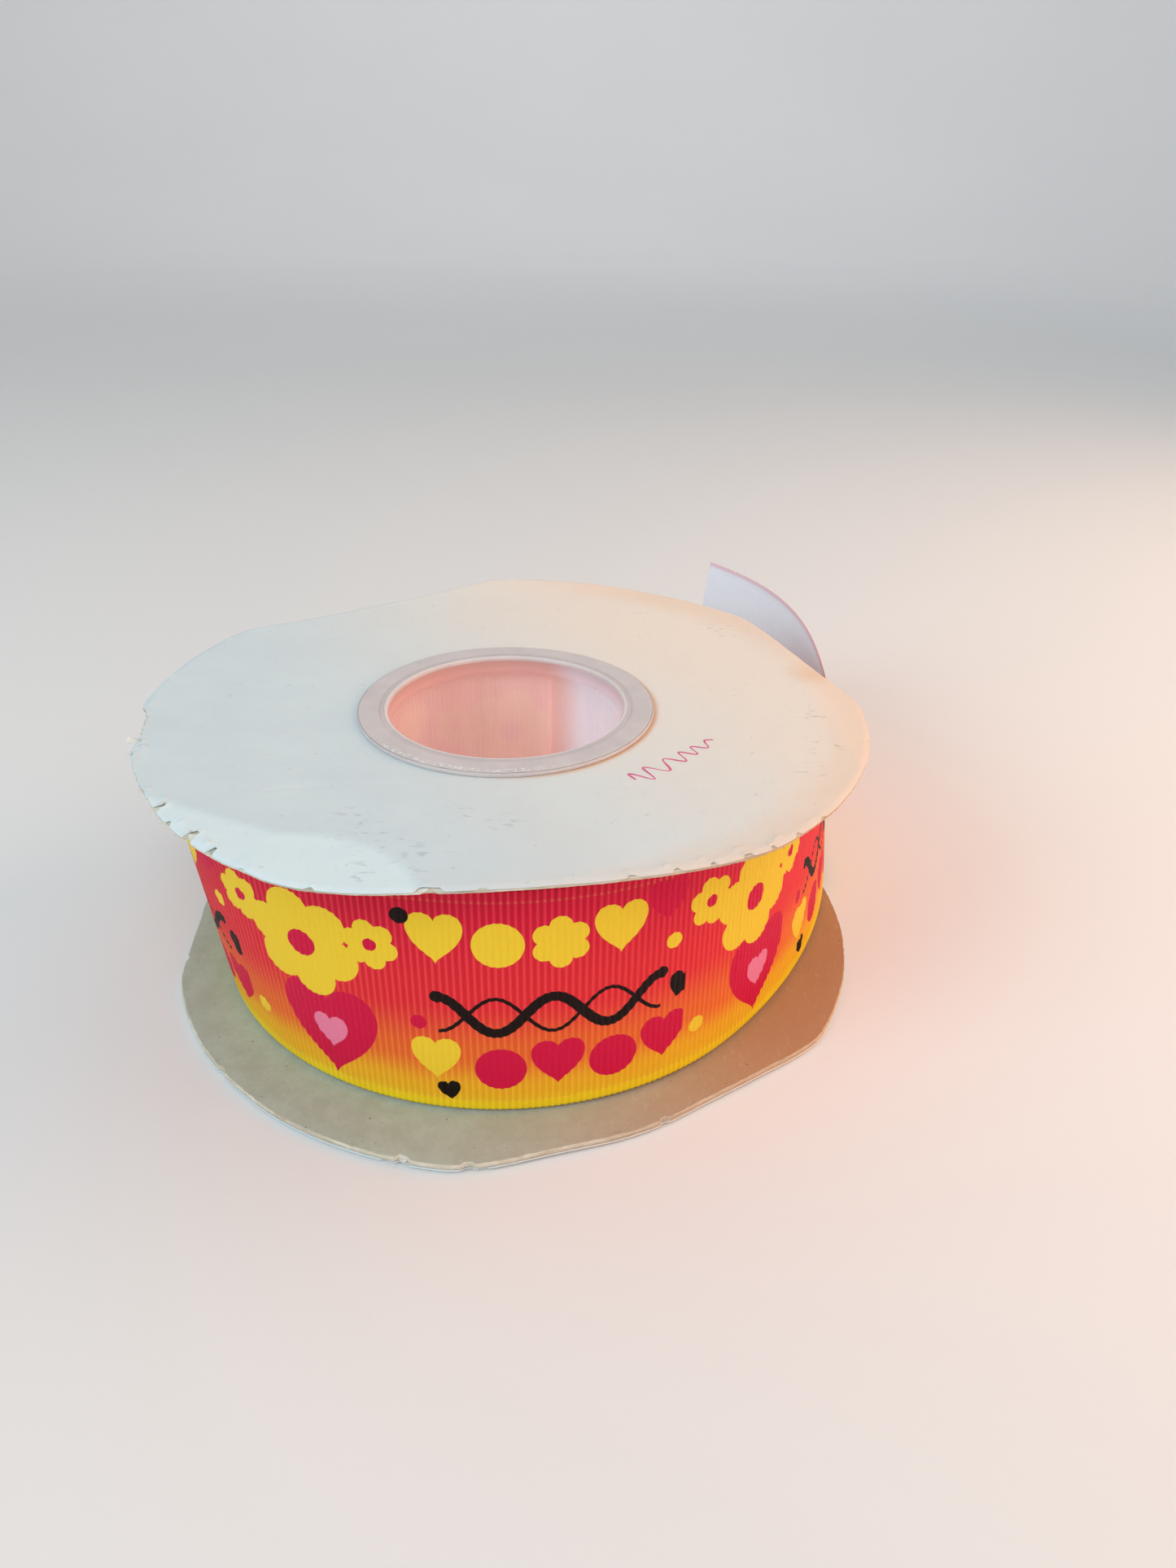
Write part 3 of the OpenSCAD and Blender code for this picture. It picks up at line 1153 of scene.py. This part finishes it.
def at_edge(direction, inset, board_edge, z, shape):
    """A point on a flange that far in from its edge, and the way outwards there."""
    angle = math.radians(direction)
    radius = np.interp(angle % TURN, ANGLES, board_edge, period=TURN) - inset * MM
    x = radius * math.cos(angle)
    y = radius * math.sin(angle)
    height = z + float(shape(np.array([x]), np.array([y]))[0])
    return np.array([x, y, height]), np.array([math.cos(angle), math.sin(angle), 0.0])


def chip_roots(chips, board_edge, z, shape, per_degree, seed):
    """Places along the torn edge of each chip for fibres to stand."""
    rng = np.random.default_rng(seed)
    roots = []
    for direction, width, depth in chips:
        for _ in range(int(width * 2 * per_degree)):
            place = direction + rng.uniform(-width, width)
            point, outward = at_edge(place, rng.uniform(0, 0.5) * depth, board_edge, z, shape)
            roots.append((point, outward + np.array([0, 0, 0.3])))
    return roots


# Flakes of torn paper: direction, how far in, length in millimetres, lift and turn in degrees
TOP_FLAKES = [
    (-164.8, 0.3, 2.5, 5, 20), (-163.4, 0.5, 2.3, 8, -40), (-162.4, 0.9, 2.0, 8, 60),
    (-160.5, 1.0, 1.5, 7, -70), (-171.0, 0.6, 1.3, 6, -70),
    (-143.0, 1.9, 1.6, 8, 75), (-140.0, 1.0, 1.3, 6, -60),
    (-134.5, 2.0, 2.2, 8, 70), (-130.5, 1.6, 1.9, 8, -65), (-97.5, 0.8, 1.4, 5, 85),
]
BOTTOM_FLAKES = [(-101.5, 0.4, 1.5, 5, 60), (-92.5, 0.4, 1.3, 5, -60)]


def flake_places(flakes, board_edge, z, shape):
    places = []
    for direction, inset, length, lift, turn in flakes:
        point, outward = at_edge(direction, inset, board_edge, z, shape)
        turned_out = Matrix.Rotation(math.radians(turn), 3, "Z") @ Vector(outward)
        places.append((point, np.array(turned_out), length * MM, math.radians(lift)))
    return places


# ---------------------------------------------------------------- the hub

def rounded(corners, steps=4):
    """A closed outline of (r, z, rounding) corners in millimetres, as points in metres."""
    points = []
    count = len(corners)
    for number in range(count):
        here = np.array(corners[number][:2], float)
        before = np.array(corners[number - 1][:2], float) - here
        after = np.array(corners[(number + 1) % count][:2], float) - here
        size = corners[number][2]
        if size == 0:
            points.append(here)
            continue
        start = here + before / np.linalg.norm(before) * size
        end = here + after / np.linalg.norm(after) * size
        for step in range(steps + 1):
            t = step / steps
            points.append((1 - t) ** 2 * start + 2 * t * (1 - t) * here + t * t * end)
    return np.array(points) * MM


def lathe(name, profile, relief=None, columns=720):
    """A profile turned round the hub axis; relief adds to each point's radius and height."""
    angle = np.linspace(0, TURN, columns, endpoint=False)
    radius = profile[:, 0][:, None] + np.zeros(columns)
    height = profile[:, 1][:, None] + np.zeros(columns)
    if relief is not None:
        extra_r, extra_z = relief(radius, height, angle)
        radius = radius + extra_r
        height = height + extra_z
    points = np.stack([radius * np.cos(angle), radius * np.sin(angle), height], -1)
    obj = grid_object(name, points, True, True)
    flip_if_inside_out(obj)
    return obj


# Directions between which the flash grows, stands full and dies away
FLASH_ARC = (222, 236, 284, 296)
FLASH_HEIGHT = 0.16 * MM
RIM_WAVE = 0.03 * MM
NICK_DEPTH = 0.05 * MM


def upper_rim_relief(radius, height, angle):
    """Ragged moulding flash on the outer third of the rim, and small dents in its edge."""
    top = smooth(height, HUB_TOP - 0.25 * MM, HUB_TOP - 0.05 * MM)
    degrees = np.degrees(angle)
    start, full, ebb, end = FLASH_ARC
    arc = smooth(degrees, start, full) * (1 - smooth(degrees, ebb, end))
    patches = smooth(jagged(angle, 150, 31), 0.35, 0.75)
    band = smooth(radius, RIM_R - 1.9 * MM, RIM_R - 1.2 * MM)
    band = band * (1 - smooth(radius, RIM_R - 0.6 * MM, RIM_R))
    flash = top * arc * patches * band * FLASH_HEIGHT * jagged(angle, 720, 32)
    wave = RIM_WAVE * top * np.sin(3 * angle + 0.6)
    at_rim = smooth(radius, RIM_R - 0.2 * MM, RIM_R)
    nicks = -NICK_DEPTH * smooth(jagged(angle, 240, 33), 0.8, 1.0) * at_rim
    return nicks, flash + wave


def make_hub():
    """The two pressed-together pieces of the hub, each turned from a profile of (r, z, rounding)."""
    bore = BORE_R / MM
    sleeve = SLEEVE_R / MM
    lap = (bore + sleeve) / 2
    rim = RIM_R / MM
    top = HUB_TOP / MM
    under = SLEEVE_TOP / MM
    step = RIM_T / MM
    clear_top = RIBBON_HIGH / MM - 0.5
    upper = [
        (bore, step, 0.15), (lap - 0.02, step, 0.1), (lap - 0.02, under, 0.0),
        (rim, under, 0.1), (rim, top - 0.12, 0.25), (rim - 0.45, top, 0.3),
        (bore + 1.55, top, 0.15), (bore + 1.35, top - 0.05, 0.1),
        (bore + 0.75, top - 0.05, 0.1), (bore + 0.6, top, 0.08),
        (bore + 0.22, top, 0.12), (bore, top - 0.45, 0.2), (bore, clear_top, 0.0),
    ]
    lower = [
        (lap + 0.02, step - 0.15, 0.0), (bore, step - 0.15, 0.0), (bore, 0, 0.2),
        (rim - 0.45, 0, 0.3), (rim, 0.12, 0.25), (rim, step, 0.1),
        (sleeve, step, 0.1), (sleeve, under, 0.1), (lap + 0.02, under, 0.1),
    ]
    upper_obj = lathe("hub_upper_shell", rounded(upper), upper_rim_relief)
    lower_obj = lathe("hub_lower_shell", rounded(lower))
    rim_look = frosted_rim()
    sleeve_look = frosted_sleeve()
    for obj, node in ((upper_obj, "hub_upper"), (lower_obj, "hub_lower")):
        dress(obj, rim_look, sleeve_look)
        for face in obj.data.polygons:
            face.material_index = 1 if RIM_T < face.center.z < RIBBON_HIGH - 1.0 * MM else 0
        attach(obj, "core")
        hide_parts(node)


# Radii in millimetres of the rim's painted shade over its groove, its painted highlight on the inner
# lip, and its flash
RIM_GROOVE_SHADE_R = 20.25
RIM_LIP_HIGHLIGHT_R = 19.55
RIM_FLASH_R = 23.3


def frosted_rim():
    """Milky plastic, scuffed along its edges, with pale flash towards the front, painted shade over
    the groove in its top and a painted highlight on its inner lip. The wall of the bore just under it
    is painted the colour of the ribbon behind and made to glow, painted light standing in for the
    light the plastic spreads."""
    shader = Shader("frosted_rim")
    x, y, z = shader.place()
    radius = (x * x + y * y).sqrt()
    cloud = shader.noise(160, 3.0, 0.6)
    shader.start(cloud.ramp(0.3, 0.7), (222, 212, 211), (212, 203, 203))
    # Painted shade: a darker band over the groove in the rim's top. Painted highlight: a pale line on
    # its raised inner lip.
    band = (radius - RIM_GROOVE_SHADE_R).hill(0.25, 0.6)
    shader.over(band * 0.28, (186, 176, 178))
    lip = (radius - RIM_LIP_HIGHLIGHT_R).hill(0.1, 0.35)
    shader.over(lip * 0.5, (240, 236, 234))
    ragged = shader.noise(1300, 3.0, 0.7).ramp(0.50, 0.60)
    outer = (radius - RIM_FLASH_R).hill(0.25, 0.7)
    front = (y + x * 0.25).ramp(-20.5, -17.0, 1.0, 0.0)
    shader.over(ragged * outer * front * 0.85, (244, 244, 246))
    # Painted light: the bore wall under the rim is tinted the colour of the ribbon and tape behind it
    # and made to glow.
    wall = (radius - BORE_R / MM).ramp(0.10, 0.35, 1.0, 0.0)
    depth = z * -1 + HUB_TOP / MM
    bore_glow = wall * depth.ramp(0.5, 0.8)
    beside_tape = (y.angle_to(x) * (360 / TURN) - 28).hill(24, 46)
    behind = shader.mix(beside_tape, linear(218, 168, 160), linear(218, 208, 218))
    shader.link(shader.mix(bore_glow * 0.9, shader.colour, behind), "Base Color")
    shader.link(bore_glow * depth.ramp(0.7, 2.4, 0.03, 0.15), "Emission Strength")
    shader.link(behind, "Emission Color")
    shader.link(shader.noise(700, 3.0, 0.6).ramp(0.3, 0.7, 0.34, 0.50), "Roughness")
    shader.set(Specular_IOR_Level=0.5, IOR=1.5, Subsurface_Weight=0.35, Subsurface_Radius=(1, 1, 1))
    shader.set(Subsurface_Scale=0.0012)
    sleeve = (radius - SLEEVE_R / MM).ramp(0.2, 0.6, 1.0, 0.0)
    shader.link(sleeve * depth.ramp(2.4, 3.7) * -0.70 + 0.92, "Alpha")
    shader.bump(shader.noise(1500, 3.0, 0.65), 0.00006)
    return shader.material


def frosted_sleeve():
    """The same plastic in the thin sleeves, clear enough for the ribbon to show through."""
    shader = Shader("frosted_sleeve")
    drag = shader.noise(260, 3.0, 0.6, (1, 1, 0.12))
    shader.start(drag.ramp(0.3, 0.7), (238, 214, 212), (222, 196, 194))
    shader.link(shader.colour, "Base Color")
    shader.link(drag.ramp(0.3, 0.7, 0.22, 0.36), "Roughness")
    shader.set(Specular_IOR_Level=0.5, IOR=1.5, Alpha=0.16)
    shader.bump(drag, 0.00005)
    return shader.material


# How strongly the tape is made to glow: painted light.
TAPE_GLOW = 0.58


def tape_paper():
    """Pale tape seen through the milky hub, made to glow as painted light standing in for the light
    the hub spreads, and blurred at its sides.
    """
    shader = Shader("tape_paper")
    x, y, _ = shader.place()
    tone = shader.noise(220, 3.0, 0.6)
    shader.start(tone, (234, 229, 238), (226, 220, 230))
    degrees = y.angle_to(x) * (360 / TURN)
    blurred = (degrees - math.degrees(TAPE_MIDDLE)).abs().ramp(10, 28)
    shader.over(blurred, (231, 171, 158))
    shader.link(shader.colour, "Base Color")
    shader.link(shader.colour, "Emission Color")
    shader.set(Emission_Strength=TAPE_GLOW)
    shader.link(tone.ramp(0.3, 0.7, 0.45, 0.6), "Roughness")
    shader.bump(shader.noise(900, 3.0, 0.6), 0.00006)
    return shader.material


# ---------------------------------------------------------------- making the pieces

OUTER_LEAN = 4.3 * MM


def leaning(s, share):
    """The outer turn stands out a little at its top, to the left of the front."""
    angle = np.degrees(TAKE_OFF_ANGLE + s / TAKE_OFF_R)
    window = smooth(angle, -260, -200) * (1 - smooth(angle, -150, -95))
    return OUTER_LEAN * window * share


FULL_TURN = TURN * TAKE_OFF_R
TAPE_T = 0.15 * MM
FIRST_TURN_GAP = 0.05 * MM
CORE_R = SLEEVE_R + TAPE_T + RIBBON_T / 2 + FIRST_TURN_GAP
COIL_OUTER = TAKE_OFF_R - RIBBON_T


def coil_inner_radius():
    """Where the winding's second turn starts, above the ribbon's start under the tape."""
    most_turns = (COIL_OUTER - CORE_R - RIBBON_T) / RIBBON_T
    part = ((TAKE_OFF_ANGLE - TAPE_MIDDLE) / TURN) % 1
    turns = math.floor(most_turns - part) + part
    return COIL_OUTER - turns * RIBBON_T


def make_first_turn(coil_inner):
    """The ribbon starts under the middle of the tape and grows to meet the second turn."""
    length = TURN * CORE_R

    def first_turn_radius(s):
        return CORE_R + (coil_inner - CORE_R) * s / length, TAPE_MIDDLE + s / CORE_R

    # The print shows through the first turn, with its large heart towards the back
    heart_at = (math.radians(100) - TAPE_MIDDLE) % TURN * CORE_R
    first_print = 10 + 17.4 / REPEAT_UNITS - heart_at / REPEAT
    first = ribbon_strip(
        "ribbon_first_turn", roll_path(first_turn_radius), (0, length), 8, (6, 12),
        print_start=first_print,
    )
    return first, length


def make_free_end():
    free = ribbon_strip(
        "ribbon_free_end", free_path, (0, FREE_LENGTH), 10, (8, 8), free_lean, slant=END_SLANT,
    )
    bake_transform(free)
    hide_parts("ribbon_tail")
    return free


# How strongly the ribbon's back is made to glow, as painted light, in the open and inside the hub
OPEN_GLOW = 0.10
HUB_GLOW = 0.62


def make_ribbon():
    front = ribbon_front()
    pale_back = ribbon_back("ribbon_back", 0.010, linear(240, 245, 255), OPEN_GLOW)
    # Painted light: the back of the first turn inside the hub is tinted salmon, shows more print and
    # glows more, for the light the milky hub spreads.
    rosy_back = ribbon_back("ribbon_back_inside", 0.07, linear(250, 194, 182), HUB_GLOW)
    turn = ribbon_strip(
        "ribbon_outer_turn", roll_path(outer_turn_radius), (-FULL_TURN, 0), 10, (8, 0), leaning,
    )
    coil_inner = coil_inner_radius()
    coils, coil_length = coil_strip("ribbon_coils", coil_inner, COIL_OUTER)
    first, first_length = make_first_turn(coil_inner)
    for piece, length, back in (
        (turn, FULL_TURN, pale_back),
        (coils, coil_length, pale_back),
        (first, first_length, rosy_back),
    ):
        dress(piece, front, back)
        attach(piece, "core")
        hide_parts("ribbon_roll")
    dress(make_free_end(), front, pale_back)


def make_pen_line():
    """A loose wavering stroke of pen on the upper liner."""
    t = np.linspace(0, 1, 160)
    swing = np.sin(t * 34 + np.sin(t * 9)) * (2.0 - 1.1 * t)
    x = (20.5 + 12.5 * t - 0.72 * swing) * MM
    y = (-24.5 + 13.0 * t + 0.69 * swing) * MM
    z = UPPER_LINER_Z + LINER_T + top_worn(x, y) + 0.012 * MM
    heading = np.arctan2(np.gradient(y), np.gradient(x))
    half = (0.17 + 0.05 * np.sin(t * 41)) * MM
    points = np.empty((6, len(t), 3))
    for row in range(6):
        turn = row * TURN / 6
        points[row, :, 0] = x - np.sin(heading) * half * math.cos(turn)
        points[row, :, 1] = y + np.cos(heading) * half * math.cos(turn)
        points[row, :, 2] = z + 0.012 * MM * math.sin(turn)
    obj = grid_object("pen_line", points, True, False)
    close_ends(obj, 6, len(t))
    shader = Shader("pen_ink")
    tone = shader.noise(800, 2.0, 0.6)
    shader.link(shader.mix(tone, linear(222, 62, 128), linear(236, 128, 168)), "Base Color")
    shader.set(Roughness=0.5)
    dress(obj, shader.material)
    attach(obj, "top_flange")


def make_flanges():
    bottom_outline = outline(ANGLES, BOTTOM_FLATS, BOTTOM_CENTRE)
    top_board, top_liner, top_edge = make_flange(
        "top", (top_shape, top_worn), TOP_EDGE, UPPER_BOARD_Z, UPPER_LINER_Z,
        (TOP_LINER_CHIPS, TOP_BOARD_CHIPS), TOP_PINCH, 100,
    )
    bottom_board, bottom_liner, bottom_edge = make_flange(
        "bottom", (bottom_shape, bottom_shape), bottom_outline, LOWER_BOARD_Z, LOWER_LINER_Z,
        (BOTTOM_LINER_CHIPS, BOTTOM_BOARD_CHIPS), BOTTOM_PINCH, 200,
    )
    board_look = chipboard("chipboard")
    cut_look = cut_board("chipboard_edge")
    dress(top_board, board_look, cut_look)
    dress(bottom_board, board_look, cut_look)
    for liner, marks_and_painted_light in ((top_liner, True), (bottom_liner, False)):
        look = liner_paper(liner.name, marks_and_painted_light)
        dress(liner, look, look)
    fibre_look = paper_fibre()
    upper = (top_edge, UPPER_LINER_Z, top_worn)
    lower = (bottom_edge, LOWER_BOARD_Z + BOARD_T / 2, bottom_shape)
    for name, chips, flakes, edge in (
        ("top", TOP_LINER_CHIPS[2:9], TOP_FLAKES, upper),
        ("bottom", BOTTOM_BOARD_CHIPS[:3], BOTTOM_FLAKES, lower),
    ):
        roots = chip_roots(chips, *edge, 9, 300)
        fuzz = torn_paper(name + "_edge_fibres", roots, flake_places(flakes, *edge), 301)
        dress(fuzz, fibre_look)
        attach(fuzz, name + "_flange")


make_hub()
make_flanges()
make_ribbon()
make_pen_line()
frame["nodes"]["start_tape"].data.materials.clear()
dress(frame["nodes"]["start_tape"], tape_paper())


# ---------------------------------------------------------------- floor and light

def make_floor():
    """A pale round studio floor that sweeps up into a backdrop far behind the object."""
    flat = 1.6
    sweep = 1.2
    wall = 1.2
    bend = np.linspace(0, math.pi / 2, 13)
    radius = np.concatenate([[0.001, 0.4, 0.9], flat + sweep * np.sin(bend), [flat + sweep]])
    height = np.concatenate([[0, 0, 0], sweep * (1 - np.cos(bend)), [sweep + wall]])
    angle = np.linspace(0, TURN, 96, endpoint=False)
    points = np.empty((len(radius), len(angle), 3))
    points[..., 0] = radius[:, None] * np.cos(angle)
    points[..., 1] = radius[:, None] * np.sin(angle)
    points[..., 2] = height[:, None]
    floor = grid_object("floor", points, False, True)
    shader = Shader("floor_paper")
    tone = shader.noise(3, 2.0, 0.5)
    shader.link(shader.mix(tone, linear(240, 239, 238), linear(234, 233, 233)), "Base Color")
    shader.set(Roughness=0.7, Specular_IOR_Level=0.2)
    dress(floor, shader.material)


def soft_light(name, place, aim, size, power, colour):
    data = bpy.data.lights.new(name, "AREA")
    data.shape = "DISK"
    data.size = size
    data.energy = power
    data.color = colour
    light = bpy.data.objects.new(name, data)
    direction = Vector(aim) - Vector(place)
    light.rotation_euler = direction.to_track_quat("-Z", "Y").to_euler()
    light.location = place
    bpy.context.scene.collection.objects.link(light)


def make_light():
    world = bpy.data.worlds.new("studio")
    world.use_nodes = True
    background = next(n for n in world.node_tree.nodes if n.type == "BACKGROUND")
    background.inputs["Color"].default_value = (0.90, 0.96, 1.0, 1)
    background.inputs["Strength"].default_value = 0.50
    bpy.context.scene.world = world
    centre = (0, 0, 0.03)
    soft_light("cool_left", (-0.50, -0.38, 0.42), centre, 0.40, 1.9, (0.74, 0.93, 1.0))
    soft_light("warm_right", (0.44, 0.10, 0.27), centre, 0.45, 1.25, (1.0, 0.62, 0.38))
    soft_light("high_front", (0.15, -0.9, 1.4), centre, 0.8, 4.4, (1, 0.98, 0.96))
    soft_light("low_front", (0.35, -0.75, 0.16), centre, 0.4, 0.8, (1.0, 0.88, 0.78))
    soft_light("low_right", (0.26, -0.10, 0.10), centre, 0.10, 0.10, (1.0, 0.32, 0.10))
    soft_light("backdrop", (0, 1.3, 1.6), (0, 2.8, 0.9), 1.2, 8.0, (0.96, 0.97, 1.0))


make_floor()
make_light()
bpy.context.scene.view_settings.view_transform = "Standard"
